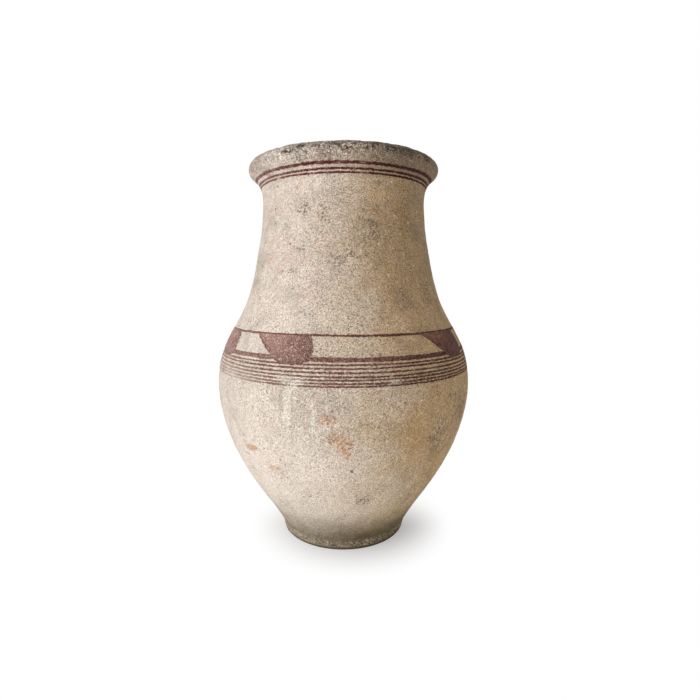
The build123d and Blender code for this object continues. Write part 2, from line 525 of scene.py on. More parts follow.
VEIL = (-14, 0.385, 0.130, 0.090, 0.8)
RUST_STAINS = (
    (-2, 0.318, 0.026, 0.026), (0, 0.300, 0.026, 0.026), (-6, 0.356, 0.026, 0.014),
    (-42, 0.270, 0.036, 0.010), (-30, 0.234, 0.030, 0.008), (-38, 0.641, 0.016, 0.010),
    (-48, 0.250, 0.014, 0.007), (-21, 0.872, 0.006, 0.004),
)
OCHRE_STAINS = ((40, 0.745, 0.036, 0.085), (30, 0.300, 0.050, 0.080), (48, 0.210, 0.040, 0.060))
CHALK_STAINS = (
    (-20, 0.430, 0.045, 0.018), (19, 0.428, 0.020, 0.008), (45, 0.439, 0.006, 0.004),
    (-50, 0.456, 0.010, 0.005), (-46, 0.884, 0.014, 0.008), (29, 0.795, 0.004, 0.006),
)
SMUDGE_STAINS = (
    (14, 0.715, 0.060, 0.045), (10, 0.160, 0.030, 0.022), (-5, 0.660, 0.040, 0.040),
    (-12, 0.759, 0.030, 0.030), (22, 0.850, 0.080, 0.030), (55, 0.300, 0.050, 0.120),
)
SPECKS = (
    (-25, 0.770, 0.035, 0.020), (-25, 0.686, 0.022, 0.014), (-31, 0.641, 0.022, 0.012),
    (-12, 0.759, 0.030, 0.030), (-5, 0.660, 0.030, 0.018), (5, 0.672, 0.030, 0.014),
    (17, 0.723, 0.040, 0.030), (42, 0.300, 0.050, 0.060), (10, 0.160, 0.030, 0.018),
    (30, 0.430, 0.060, 0.020), (-10, 0.860, 0.120, 0.012), (28, 0.862, 0.100, 0.018),
    (62, 0.340, 0.045, 0.070), (38, 0.165, 0.035, 0.030), (55, 0.600, 0.040, 0.050),
)
NICKS = (
    (51, 0.384, 0.004, 0.006), (3.4, 0.244, 0.005, 0.005), (15, 0.366, 0.004, 0.003),
    (-33, 0.700, 0.004, 0.004),
)
LIP_CLUMPS = (
    (-30, 0.880, 0.030, 0.008, 0.8), (-22, 0.886, 0.024, 0.006, 0.8), (-4, 0.887, 0.030, 0.007, 0.8),
    (17, 0.888, 0.024, 0.010, 0.7), (25, 0.882, 0.030, 0.012, 0.7), (35, 0.882, 0.045, 0.012, 0.7),
    (52, 0.880, 0.030, 0.010, 0.8),
)
RUBBED_STROKES = (
    (-44.5, 0.8384, 0.012, 0.006, 0.3), (-20, 0.430, 0.045, 0.015), (19, 0.428, 0.020, 0.007),
)


def sandy_grain(jar):
    """Brightness of the coarse surface, about 1, from broad clouds down to single grains."""
    right = jar.facing(WEATHERED_AND_SHADED).ramp(0.2, 0.9)
    broad = (jar.place.noise(0.035, 3, 0.6) - 0.5) * 0.35 + (jar.place.noise(0.011, 3, 0.65) - 0.5) * 0.25
    fine = (jar.place.noise(0.0034, 3, 0.7) - 0.5) * 0.3
    coarse = 0.58 + jar.height.ramp(*LOWER_GRAIN) * 0.14 + jar.height.ramp(*UPPER_GRAIN) * 0.33 + right * 0.3
    pale = jar.place.grains(0.0011).ramp(0.35, 0.0) * (0.42 + right * 0.15)
    return 1.05 + (broad + fine) * coarse + pale


def dark_grit(jar):
    """Share of dark grit: single grains, thicker in some places than in others."""
    thick = (jar.place.noise(0.05, 3, 0.6) - 0.5) * 0.25
    exposed = 0.64 + jar.facing(WEATHERED_AND_SHADED).ramp(-0.8, 0.7) * 0.46
    calm = 1 - jar.height.ramp(*CALM_GRIT) * 0.30
    return (jar.place.grains(0.0011) + thick).ramp(0.48, 1.0) * exposed * calm


def slip_colour(jar, colours):
    """Colour of the slipped outside: cream, browner on the weathered side, partly as painted shade, with
    bloom, streaks and stains; painted shade on the right and at the far left edge, painted light on the lower
    wall, and a lighter band round the shoulder.
    """
    neck = jar.height.ramp(*NECK)
    low = jar.height.ramp(*LOW_WALL)
    side = jar.facing(WEATHERED_AND_SHADED) + (jar.place.noise(0.12, 3) - 0.5) * 0.8 + neck * 0.12 - low * 0.12
    side = side - jar.height.ramp(*NECK_TOP) * 0.15 - jar.height.ramp(*LIP) * 0.15
    # Cream, beige and brown towards the right: weathering, and painted shade on the side away from the key
    # light
    colour = side.ramp(-0.35, 0.30).mix(colours.cream, colours.beige)
    colour = side.ramp(0.15, 0.85).mix(colour, colours.brown)

    clean = 1 - side.ramp(0.0, 0.8) * 0.85
    rose = jar.place.noise(0.04, 4, 0.6).ramp(0.42, 0.68) * (0.15 + neck * 0.62)
    colour = (rose * clean).mix(colour, colours.rose)
    bloom = (jar.place.noise(0.055, 4, 0.65) + neck * 0.06).ramp(0.48, 0.72)
    colour = (bloom * clean * 0.6).mix(colour, colours.grey)
    colour = stained_colour(jar, colours, streaked_colour(jar, colours, colour, side))

    # Painted shade: darker to the right, most on the neck, and at the far left edge; painted light: lighter
    # on the lower wall away from the right; and lighter round the shoulder
    right = jar.facing(WEATHERED_AND_SHADED).ramp(0.2, 1.0)
    edge = jar.facing(FAR_LEFT).ramp(0.60, 1.0)
    shaded = neck * (right * 0.33 + 0.015) + (1 - neck) * right * 0.16 + edge * 0.13
    bright = low * jar.height.ramp(*ABOVE_FOOT) * side.ramp(0.75, 0.15) * 0.09
    shoulder = jar.height.ramp(*SHOULDER_LOW) * jar.height.ramp(*SHOULDER_HIGH) * 0.05
    return colour.scaled(1 + bright + shoulder - shaded)


def streaked_colour(jar, colours, colour, side):
    """Adds the grey and chalky streaks, most of all under the band, and the dirt on the weathered side."""
    drips = jar.place.vector("MULTIPLY", (1, 1, 0.2)).noise(0.014, 4, 0.65)
    veil = jar.patch(*VEIL)
    colour = (drips.ramp(0.55, 0.38) * veil * 0.7).mix(colour, colours.grey)
    colour = (drips.ramp(0.46, 0.66) * (0.10 + veil * 0.9)).mix(colour, colours.chalk)
    dirt = jar.place.noise(0.06, 4, 0.65).ramp(0.48, 0.70) * side.ramp(0.25, 0.95)
    return (dirt * 0.36).mix(colour, colours.patina)


def stained_colour(jar, colours, colour):
    """Adds the smudges, the ochre and rust stains and the chalky rubs."""
    speckle = jar.place.noise(0.006, 4, 0.75).ramp(0.38, 0.62)
    colour = (jar.patches(SMUDGE_STAINS) * speckle * 0.36).mix(colour, colours.patina)
    colour = (jar.patches(OCHRE_STAINS) * (0.3 + speckle * 0.4)).mix(colour, colours.ochre)
    colour = (jar.patches(RUST_STAINS) * (0.12 + speckle * 0.8)).mix(colour, colours.rust)
    return (jar.patches(CHALK_STAINS) * speckle * 0.8).mix(colour, colours.chalk)


def weathered_and_shaded_colour(jar, colours):
    """The slip's colour with the marks of age: specks, nicks, growth on the lip and earth on the foot, over
    the slip's painted shade and painted light.
    """
    colour = slip_colour(jar, colours)
    clusters = jar.place.noise(0.05, 3).ramp(0.42, 0.68)
    specks = jar.place.grains(0.0036).ramp(0.95, 0.98) * (0.15 + clusters * 0.6)
    specks = specks.at_least(jar.patches(SPECKS) * jar.place.grains(0.0028).ramp(0.66, 0.80) * 0.75)
    colour = specks.mix(colour, colours.mould_and_contact_shade)
    pale = jar.place.grains(0.0040).ramp(0.97, 0.99) * 0.35
    colour = pale.mix(colour, colours.chalk)
    colour = (jar.patches(NICKS) * 0.85).mix(colour, colours.soot)
    colour = lip_growth(jar, colours, colour)
    colour = foot_earth(jar, colours, colour)
    return dark_grit(jar).mix(colour, colours.grit).scaled(sandy_grain(jar))


def lip_growth(jar, colours, colour):
    """Adds the speckled dirt on the lip and the dark growth along its top."""
    edge = (jar.cloudy - 0.5) * 0.06
    weather = jar.facing(WEATHERED_AND_SHADED).ramp(0.1, 0.9)
    dirt = (jar.height + edge + weather * 0.02).ramp(*LIP_DIRT) * (0.2 + weather * 0.8)
    dirt = dirt * (0.5 + jar.place.grains(0.0019) * 0.6)
    colour = dirt.mix(colour, colours.patina)
    front = 0.5 + jar.facing(LIP_FRONT).ramp(0.55, 0.95) * 0.5
    growth = (jar.height + edge * 0.7).ramp(*LIP_GROWTH) * front
    film = growth * jar.place.noise(0.014, 4, 0.7).ramp(0.35, 0.65) * 0.4
    colour = film.mix(colour, colours.patina)
    spots = jar.place.noise(0.012, 4, 0.75).ramp(0.38, 0.52) * jar.place.grains(0.0030).ramp(0.45, 0.62)
    clumps = jar.patches(LIP_CLUMPS) * jar.place.grains(0.0027).ramp(0.22, 0.42)
    colour = ((growth * spots).at_least(clumps) * 0.95).mix(colour, colours.soot)
    rough = jar.height.ramp(*LIP_GRAIN) * 1.1
    return colour.scaled(1 + (jar.place.grains(0.0017) - 0.5) * rough)


def foot_earth(jar, colours, colour):
    """Adds the earth stain on the foot, the damp patches, the sandy, holed ridge at the ground, and a dark
    band at the ground that is painted contact shade with ground stain.
    """
    edge = (jar.place.noise(0.035, 4, 0.65) - 0.5) * 0.05
    side = jar.facing(WEATHERED_AND_SHADED).ramp(-0.6, 0.9)
    colour = (jar.height.ramp(*SAND) * 0.30).mix(colour, colours.sand)
    earth = (jar.height + edge).ramp(*EARTH) * (0.61 + side * 0.45)
    colour = earth.mix(colour, colours.earth)
    blotch = jar.place.noise(0.028, 4, 0.65).ramp(0.40, 0.62)
    damp = (jar.height + edge).ramp(*DAMP) * blotch * (0.25 + side * 0.35)
    colour = damp.mix(colour, colours.mould_and_contact_shade)

    level = jar.height + edge * 0.3
    left = jar.facing(FOOT_SIDE).ramp(0.2, 0.9)
    ridge = level.ramp(*RIDGE_LOW) * level.ramp(*RIDGE_HIGH)
    worn = jar.place.noise(0.03, 3).ramp(0.34, 0.54) * jar.place.grains(0.0028).ramp(0.35, 0.60)
    colour = (ridge * worn * 0.8).mix(colour, colours.sand)
    crease = level.ramp(*CREASE_LOW) * level.ramp(*CREASE_HIGH) * jar.place.grains(0.0026).ramp(0.1, 0.7)
    colour = (crease * (0.06 + left * 0.28)).mix(colour, colours.mould_and_contact_shade)
    holes = ridge * jar.place.grains(0.0032).ramp(0.80, 0.88) * (0.30 + left * 0.4)
    colour = holes.mix(colour, colours.soot)
    # Painted contact shade where the foot meets the floor, with ground stain
    colour = (jar.height.ramp(*GROUND) * 0.85).mix(colour, colours.mould_and_contact_shade)
    rough = jar.height.ramp(*FOOT_GRAIN) * 0.6
    return colour.scaled(1 + (jar.place.grains(0.0017) - 0.5) * rough)


# Depth of the relief on clay and on paint, how strongly it shows, and the gloss of all of them

CLAY_RELIEF = 1.2 * MM
PAINT_RELIEF = 1.0 * MM
RELIEF_STRENGTH = 0.9
GLOSS = 0.12


def start_finish(name):
    """A new, empty material, and the place on the jar that its patterns follow."""
    finish = bpy.data.materials.new(name)
    finish.use_nodes = True
    tree = finish.node_tree
    tree.nodes.clear()
    return finish, JarPlace(tree)


def close_finish(jar, colour, roughness, relief, depth):
    """Feeds a matte surface with its colour, roughness and relief; depth is in metres."""
    tree = jar.place.tree
    sockets = {"Height": relief, "Strength": RELIEF_STRENGTH, "Distance": depth}
    bump = jar.place.node("ShaderNodeBump", {}, sockets)
    surface = {"Base Color": colour, "Roughness": roughness, "Normal": bump, "Specular IOR Level": GLOSS}
    shader = jar.place.node("ShaderNodeBsdfPrincipled", {}, surface)
    output = tree.nodes.new("ShaderNodeOutputMaterial")
    tree.links.new(shader.socket, output.inputs["Surface"])


def clay_relief(jar):
    """Height of the coarse surface, 0 to 1: sandy grain with pits where grit fell out."""
    grain = jar.place.noise(0.004, 4, 0.7) * (0.42 + jar.height.ramp(*RELIEF) * 0.18)
    pits = jar.place.grit(0.013).ramp(0.05, 0.22)
    return grain + pits * 0.4


def slipped_clay(colours):
    """Coarse cream slip outside, and bare clay inside below a ragged edge."""
    finish, jar = start_finish("coarse_slip")
    inside = jar.place.node("ShaderNodeAttribute", {"attribute_name": "inside"}, {}, "Fac")
    edge = (jar.place.noise(0.05, 4, 0.6) - 0.5) * 0.10
    bare = inside * (jar.height + edge).ramp(*BARE_INSIDE)
    colour = bare.mix(weathered_and_shaded_colour(jar, colours), bare_colour(jar, colours))
    close_finish(jar, colour, 0.82 + jar.cloudy * 0.2, clay_relief(jar), CLAY_RELIEF)
    return finish


def bare_colour(jar, colours):
    """Colour of the unslipped clay: brown, with level wipe marks, grit and a pale bloom."""
    wipes = jar.place.vector("MULTIPLY", (0.15, 0.15, 1)).noise(0.012, 4, 0.6) - 0.5
    bloom = jar.place.noise(0.09, 4).ramp(0.45, 0.75) * 0.35
    colour = bloom.mix(colours.clay, colours.sand)
    grain = jar.place.noise(0.005, 4, 0.7) - 0.5
    return colour.scaled(1 + wipes * 0.5 + grain * 0.9)


def bare_clay(colours):
    """Unslipped clay of the floor coil."""
    finish, jar = start_finish("raw_clay")
    close_finish(jar, bare_colour(jar, colours), 0.9 + jar.cloudy * 0.1, clay_relief(jar), CLAY_RELIEF)
    return finish


# Paints: main colour, colour on the weathered side, darker there as painted shade, how worn and how dusty

PAINTS = {
    "rim_paint": ("wine", "shaded_wine", 0.10, 0.05),
    "shoulder_paint": ("paint", "pooled_and_shaded_paint", 0.10, 0.02),
    "band_paint": ("paint", "pooled_and_shaded_paint", 0.15, 0.35),
    "line_paint": ("paint", "pooled_and_shaded_paint", 0.25, 0.14),
    "panel_paint": ("panel", "pooled_and_shaded_paint", 0.12, 0.55),
}


def stroke_paint(name, colours):
    """Iron-rich slip paint: paler on the lit left side as painted light, darker on the other side as painted
    shade, and worn through in flecks.
    """
    main, dark, wear, dusty = PAINTS[name]
    finish, jar = start_finish(name)
    side = jar.facing(WEATHERED_AND_SHADED)
    right = side.ramp(0.2, 0.8)
    thin = jar.place.noise(0.02, 4, 0.65).ramp(0.50, 0.72) * 0.45
    # Painted light: paler paint towards the lit left side
    thin = thin.at_least(side.ramp(0.0, -0.8) * (0.2 + wear))
    # Painted shade: darker paint towards the right
    deep = side.ramp(0.15, 0.85) * 0.85
    rusty = None
    if name == "panel_paint":
        corner, pooled = panel_wash(jar)
        # Panels far to the left are paler as painted light; the upper left corner is paler where the paint
        # lies thin
        thin = thin.at_least(side.ramp(-0.4, -0.9) * 0.5).at_least(corner * side.ramp(0.6, 0.1) * 0.95)
        deep = deep.at_least(pooled * 0.6)
        rusty = corner * (0.14 + right * 0.1)
    paint = thin.mix(getattr(colours, main), colours.thin_and_lit_paint)
    paint = deep.mix(paint, getattr(colours, dark))
    if rusty:
        paint = rusty.mix(paint, colours.rust)
    dust = jar.place.grains(0.0014).ramp(0.5, 1.0) * (1 - right * 0.7) * dusty
    paint = dust.mix(paint, colours.rose)
    paint = paint.scaled(sandy_grain(jar) * (1 - dark_grit(jar) * 0.7))
    colour = worn_through(jar, side, wear).mix(paint, weathered_and_shaded_colour(jar, colours))
    close_finish(jar, colour, 0.75 + jar.cloudy * 0.2, clay_relief(jar), PAINT_RELIEF)
    return finish


def panel_wash(jar):
    """Where a panel's paint lies thin near its upper left, and where it has pooled along the other edges."""
    mapped = jar.place.node("ShaderNodeUVMap", {}, {})
    across, up = (mapped.node("ShaderNodeSeparateXYZ", {}, {0: mapped}, output) for output in range(2))
    off = across.math("ABSOLUTE", across - 0.25)
    corner = (up - off * 1.1 + (jar.cloudy - 0.5) * 0.9).ramp(0.2, 0.9)
    pooled = across.ramp(0.10, 0.03).at_least(across.ramp(0.60, 1.0) * 0.75)
    return corner, pooled.at_least((up + jar.cloudy * 0.2).ramp(0.45, 0.12) * 0.75)


def worn_through(jar, side, wear):
    """Share of a stroke that has worn off: flecks, faded low lines on the left, and rubbed places."""
    rubbed = jar.place.noise(0.03, 3).ramp(0.35, 0.65) * 0.05 + side.ramp(0.3, -0.7) * 0.05
    flecks = (jar.place.noise(0.0055, 4, 0.75) + rubbed).ramp(0.69 - wear * 0.2, 0.77 - wear * 0.18)
    flecks = flecks.at_least((jar.place.grains(0.0021) + rubbed).ramp(1 - wear * 0.3, 1.03 - wear * 0.3))
    faded = side.ramp(-0.1, -0.7) * jar.height.ramp(*FADED_LINES) * (0.2 + jar.cloudy * 0.8)
    bare = jar.patches(RUBBED_STROKES) * jar.place.noise(0.005, 3, 0.7).ramp(0.36, 0.52)
    return (flecks * 0.6).at_least(faded).at_least(bare * 0.85)


# Operators

SKIN = "clay_skin"


class PITHOS_OT_clay_skin(Operator):
    """Draws the jar's section, spins it and gives it the unevenness of hand-built clay"""

    bl_idname = "pithos.clay_skin"
    bl_label = "Clay skin"

    CURVE_STEPS = 5
    LIP_WEAR = 30 * MM
    FOOT_WEAR_HEIGHT = 16 * MM
    FOOT_WEAR_REACH = 15 * MM
    FOOT_WEAR = 0.4
    INSIDE_WEAR = 0.3
    UNDERSIDE = 0.5 * MM
    PIT_FLOOR = 0.06
    PIT_EDGE = 0.22

    def execute(self, context):
        sizes = context.scene.pithos_sizes
        skin = spun_profile(SKIN, jar_section(sizes), self.CURVE_STEPS)
        self.mark(skin)
        spin(skin, sizes.turns)
        self.sort_faces(skin)
        self.roughen(skin, sizes)
        return {"FINISHED"}

    def mark(self, skin):
        """Marks the inside, and how much of each wear every part of the section takes."""
        for point in skin.data.vertices:
            point.co.z = max(point.co.z, 0)
        heights = [point.co.z for point in skin.data.vertices]
        crest = heights.index(max(heights))
        within = [index > crest for index in range(len(heights))]
        surface = skin.vertex_groups.new(name="surface")
        edges = skin.vertex_groups.new(name="edges")
        for index, height in enumerate(heights):
            raised = height > self.UNDERSIDE
            lip = max(0, 1 - (CREST - height) / self.LIP_WEAR)
            foot = max(0, 1 - abs(height - self.FOOT_WEAR_HEIGHT) / self.FOOT_WEAR_REACH) * self.FOOT_WEAR
            foot = 0 if within[index] else foot
            surface.add([index], raised * (self.INSIDE_WEAR if within[index] else 1.0), "REPLACE")
            edges.add([index], raised * max(lip, foot), "REPLACE")
        inside = skin.data.attributes.new("inside", "FLOAT", "POINT")
        inside.data.foreach_set("value", [float(mark) for mark in within])

    def sort_faces(self, skin):
        """Writes on each face which course it belongs to, before the surface is roughened."""
        course = skin.data.attributes.new("course", "INT", "FACE")
        tops = [seam + 2 * INSET for seam in SEAMS]
        course.data.foreach_set("value", [bisect(tops, face.center.z) for face in skin.data.polygons])

    def roughen(self, skin, sizes):
        """Presses lumps, dents, pits and chipped edges into the surface, and keeps the jar's height."""
        pits = bpy.data.textures.new("pits", "VORONOI")
        pits.noise_scale = sizes.pit_size
        pits.use_color_ramp = True
        pits.color_ramp.elements[0].position = self.PIT_FLOOR
        pits.color_ramp.elements[1].position = self.PIT_EDGE
        # Pattern, depth, share of the depth that lies under the drawn section, and part of the jar
        rows = (
            (cloud("lumps", sizes.lump_size, 1), sizes.lump, 0.6, "surface"),
            (cloud("dents", sizes.dent_size, 2), sizes.dent, 0.65, "surface"),
            (pits, sizes.pit, 1.0, "surface"),
            (cloud("chips", sizes.chip_size, 2, "VORONOI_F1"), sizes.chip, 0.75, "edges"),
        )
        for pattern, depth, level, group in rows:
            apply_modifier(
                skin, "DISPLACE", texture=pattern, texture_coords="LOCAL", direction="NORMAL",
                strength=depth, mid_level=level, vertex_group=group,
            )
        for point in skin.data.vertices:
            point.co.z = min(point.co.z, CREST)


class PITHOS_OT_painted_lines(Operator):
    """Lays the painted rings on the clay: rim lines, shoulder line, broad band and belly lines"""

    bl_idname = "pithos.painted_lines"
    bl_label = "Painted lines"

    ROWS = 4
    DRIFT_WAVE = 0.5
    WIDTH_WAVE = 0.15
    EDGE_WAVE = 0.012
    WIDTH_SEED = 20
    EDGE_SEED = 40
    EDGE_SEED_STEP = 5
    WIDTH_CHANGE = 0.2

    def execute(self, context):
        sizes = context.scene.pithos_sizes
        colours = context.scene.pithos_colours
        strokes = [(node, "rim_paint") for node in RIM_LINES]
        strokes += [("shoulder_line", "shoulder_paint"), ("broad_band", "band_paint")]
        strokes += [(node, "line_paint") for node in BELLY_LINES]
        finishes = {paint: stroke_paint(paint, colours) for paint in sorted({paint for _, paint in strokes})}
        for number, (node, paint) in enumerate(strokes):
            ring = self.ring(node, sizes, number)
            lay_film(ring, sizes.film)
            settle(ring, node, finishes[paint])
        return {"FINISHED"}

    def ring(self, node, sizes, number):
        """A level stroke round the jar, drawn by an unsteady hand."""
        low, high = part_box(node)
        tall = high.z - low.z
        deselect()
        bpy.ops.mesh.primitive_circle_add(vertices=sizes.turns, radius=wall_radius(low.z))
        ring = added(f"{node}_paint")
        edit(ring)
        bpy.ops.mesh.select_all(action="SELECT")
        bpy.ops.transform.translate(value=(0, 0, low.z))
        for _ in range(self.ROWS):
            bpy.ops.mesh.extrude_region_move(TRANSFORM_OT_translate={"value": (0, 0, tall / self.ROWS)})
        bpy.ops.object.mode_set(mode="OBJECT")
        for point in ring.data.vertices:
            turn = math.atan2(point.co.x, -point.co.y)
            up = (point.co.z - low.z) / tall - 0.5
            drift = hand(turn, self.DRIFT_WAVE, number) * sizes.wander
            change = self.WIDTH_CHANGE * hand(turn, self.WIDTH_WAVE, number + self.WIDTH_SEED)
            width = tall * (1 + change) + 2 * sizes.spread
            seed = number + self.EDGE_SEED + math.copysign(self.EDGE_SEED_STEP, up)
            edge = sizes.ragged * hand(turn, self.EDGE_WAVE, seed) * abs(up) * 2
            height = (low.z + high.z) / 2 + drift + up * width + edge
            point.co = outward(turn) * wall_radius(height) + UP * height
        return ring


SEED_STEP = 3.7

# A film's thickness as a share of its height above the clay
FILM_SHARE = 0.8


def hand(turn, wave, seed):
    """How far a hand strays at a turn round the jar, from -1 to 1, in waves of about that angle."""
    return noise.noise(Vector((math.sin(turn) / wave, math.cos(turn) / wave, seed * SEED_STEP)))


def lay_film(stroke, height):
    """Lays a stroke at a height above the uneven clay and gives it its thickness."""
    skin = bpy.data.objects[SKIN]
    apply_modifier(
        stroke, "SHRINKWRAP", target=skin, wrap_method="NEAREST_SURFACEPOINT", wrap_mode="ABOVE_SURFACE",
        offset=height,
    )
    face_outwards(stroke)
    middle = stroke.data.polygons[len(stroke.data.polygons) // 2]
    if middle.normal.xy.dot(middle.center.xy) < 0:
        stroke.data.flip_normals()
    apply_modifier(stroke, "SOLIDIFY", thickness=height * FILM_SHARE, offset=-1)


class PITHOS_OT_hanging_panels(Operator):
    """Lays the dark panels that hang from the shoulder line over the broad band"""

    bl_idname = "pithos.hanging_panels"
    bl_label = "Hanging panels"

    ACROSS = 56
    DOWN = 48
    TOP_LEFT = math.radians(-13.9)
    FOOT_LEFT = math.radians(1.0)
    RIGHT = math.radians(13.8)
    SWELL = math.radians(1.7)
    TUCK = math.radians(4.5)
    LEFT_TUCK = 0.3
    ROUNDED_FOOT = 0.14
    REACH_CHANGE = 3.5 * MM
    REACH_SEED = 1.7
    SAG = 1.2 * MM
    ROUGHER = 2.6
    LEFT_WAVES = 11
    RIGHT_WAVES = 14
    FOOT_WAVES = 6
    OVERLAP = 1 * MM

    def execute(self, context):
        sizes = context.scene.pithos_sizes
        colours = context.scene.pithos_colours
        finish = stroke_paint("panel_paint", colours)
        for number, node in enumerate(PANELS):
            panel = self.panel(node, sizes, number)
            lay_film(panel, sizes.film * 2)
            settle(panel, node, finish)
        return {"FINISHED"}

    def middle_turn(self, node):
        """Turn of the middle of a panel's top edge."""
        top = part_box(node)[1].z
        corners = [vertex.co for vertex in frame["nodes"][node].data.vertices if top - vertex.co.z < MM]
        first = outward(math.atan2(corners[0].x, -corners[0].y))
        spans = [first.xy.angle_signed(corner.xy) for corner in corners]
        return math.atan2(first.x, -first.y) - (min(spans) + max(spans)) / 2

    def panel(self, node, sizes, number):
        """One panel: a slanted left side, a swelling right side and a rounded foot."""
        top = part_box(node)[1].z + self.OVERLAP
        middle = self.middle_turn(node)
        rough = sizes.ragged * self.ROUGHER / wall_radius(top)
        change = noise.noise(Vector((number * self.REACH_SEED, 0.5, 0)))
        reach = sizes.panel_reach + self.REACH_CHANGE * change
        deselect()
        bpy.ops.mesh.primitive_grid_add(x_subdivisions=self.ACROSS, y_subdivisions=self.DOWN, size=1)
        panel = added(f"{node}_paint")
        for point in panel.data.vertices:
            across = point.co.x + 0.5
            up = point.co.y + 0.5
            foot = max(0, 1 - up / self.ROUNDED_FOOT) ** 2
            left = self.FOOT_LEFT + (self.TOP_LEFT - self.FOOT_LEFT) * up + foot * self.TUCK * self.LEFT_TUCK
            right = self.RIGHT + self.SWELL * math.sin(math.pi * up) - foot * self.TUCK
            left += rough * noise.noise(Vector((up * self.LEFT_WAVES, number, 1)))
            right += rough * noise.noise(Vector((up * self.RIGHT_WAVES, number, 2)))
            turn = middle + left + (right - left) * across
            sag = self.SAG * noise.noise(Vector((across * self.FOOT_WAVES, number, 3))) * (1 - up)
            height = top - reach * (1 - up) + sag
            point.co = outward(turn) * wall_radius(height) + UP * height
        return panel


class PITHOS_OT_wall_courses(Operator):
    """Cuts the skin at its seams into the base and the eight wall courses, each with its luted joints"""

    bl_idname = "pithos.wall_courses"
    bl_label = "Wall courses"

    RIDGE_REACH = 2.6 * MM
    SEAM_REACH = 6 * MM

    def execute(self, context):
        sizes = context.scene.pithos_sizes
        finish = slipped_clay(context.scene.pithos_colours)
        skin = bpy.data.objects[SKIN]
        for number, node in enumerate(COURSES):
            course = self.cut_out(skin, number, node)
            if number > 0:
                self.close_seam(course, SEAMS[number - 1], sizes.seam_depth)
            if number < len(SEAMS):
                self.close_seam(course, SEAMS[number], sizes.seam_depth)
            face_outwards(course)
            settle(course, node, finish)
        bpy.data.objects.remove(skin)
        return {"FINISHED"}

    def cut_out(self, skin, number, node):
        """Separates the faces of one course from the skin."""
        edit(skin)
        bpy.ops.mesh.select_mode(type="FACE")
        bpy.ops.object.mode_set(mode="OBJECT")
        marks = skin.data.attributes["course"].data
        skin.data.polygons.foreach_set("select", [mark.value == number for mark in marks])
        bpy.ops.object.mode_set(mode="EDIT")
        before = set(bpy.data.objects)
        bpy.ops.mesh.separate(type="SELECTED")
        bpy.ops.object.mode_set(mode="OBJECT")
        course = (set(bpy.data.objects) - before).pop()
        course.name = f"{node}_clay"
        course.data.name = course.name
        return course

    def close_seam(self, course, seam, depth):
        """Closes the wall at a seam, with a groove or a wedge along its middle."""
        edit(course)
        bpy.ops.mesh.select_mode(type="EDGE")
        shape = bmesh.from_edit_mesh(course.data)
        rims = [edge for edge in shape.edges if edge.is_boundary and self.near(edge, seam)]
        radii = [edge.verts[0].co.xy.length for edge in rims]
        middle = (min(radii) + max(radii)) / 2
        for edge in rims:
            edge.select_set(True)
        known = set(shape.verts)
        bpy.ops.mesh.bridge_edge_loops(number_cuts=3, interpolation="LINEAR")
        shape = bmesh.from_edit_mesh(course.data)
        for point in shape.verts:
            if point not in known and abs(point.co.xy.length - middle) < self.RIDGE_REACH:
                point.co.z -= depth
        bmesh.update_edit_mesh(course.data)
        bpy.ops.object.mode_set(mode="OBJECT")

    def near(self, edge, seam):
        """Whether an edge lies along a seam, roughening included."""
        return abs(edge.verts[0].co.z - seam) < self.SEAM_REACH


class PITHOS_OT_floor_coil(Operator):
    """Presses a roll of clay into the inside corner, with finger marks round it"""

    bl_idname = "pithos.floor_coil"
    bl_label = "Floor coil"

    FINGERS = 46
    STEPS = 8
    TURNS = 360
    TRIM = 1 * MM
    CURVE_STEPS = 3
    PRESS = 0.7
    PRESS_CHANGE = 0.5
    HAND_WAVE = 0.1
    HAND_SEED = 7
    FADE_IN = 4

    def execute(self, context):
        sizes = context.scene.pithos_sizes
        low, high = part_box("floor_coil")
        tall = high.z - low.z
        rise = (tall - 2 * self.TRIM) / self.STEPS
        heights = [low.z + self.TRIM + rise * step for step in range(self.STEPS + 1)]
        face = [inner_point("floor_coil", height) for height in heights]
        back = [outer_point("floor_coil", height) for height in reversed(heights)]
        coil = spun_profile("floor_coil_clay", face + back + face[:1], self.CURVE_STEPS)
        spin(coil, self.TURNS)
        spread = max(point.x for point in back)
        for point in coil.data.vertices:
            turn = math.atan2(point.co.x, -point.co.y)
            up = min(max((point.co.z - low.z) / tall, 0), 1)
            press = math.sin(math.pi * up) * (1 - math.cos(turn * self.FINGERS)) / 2
            press *= self.PRESS + self.PRESS_CHANGE * hand(turn, self.HAND_WAVE, self.HAND_SEED)
            depth = sizes.finger * (spread - point.co.xy.length) / spread * self.FADE_IN
            point.co += outward(turn) * press * depth
        settle(coil, "floor_coil", bare_clay(context.scene.pithos_colours))
        return {"FINISHED"}


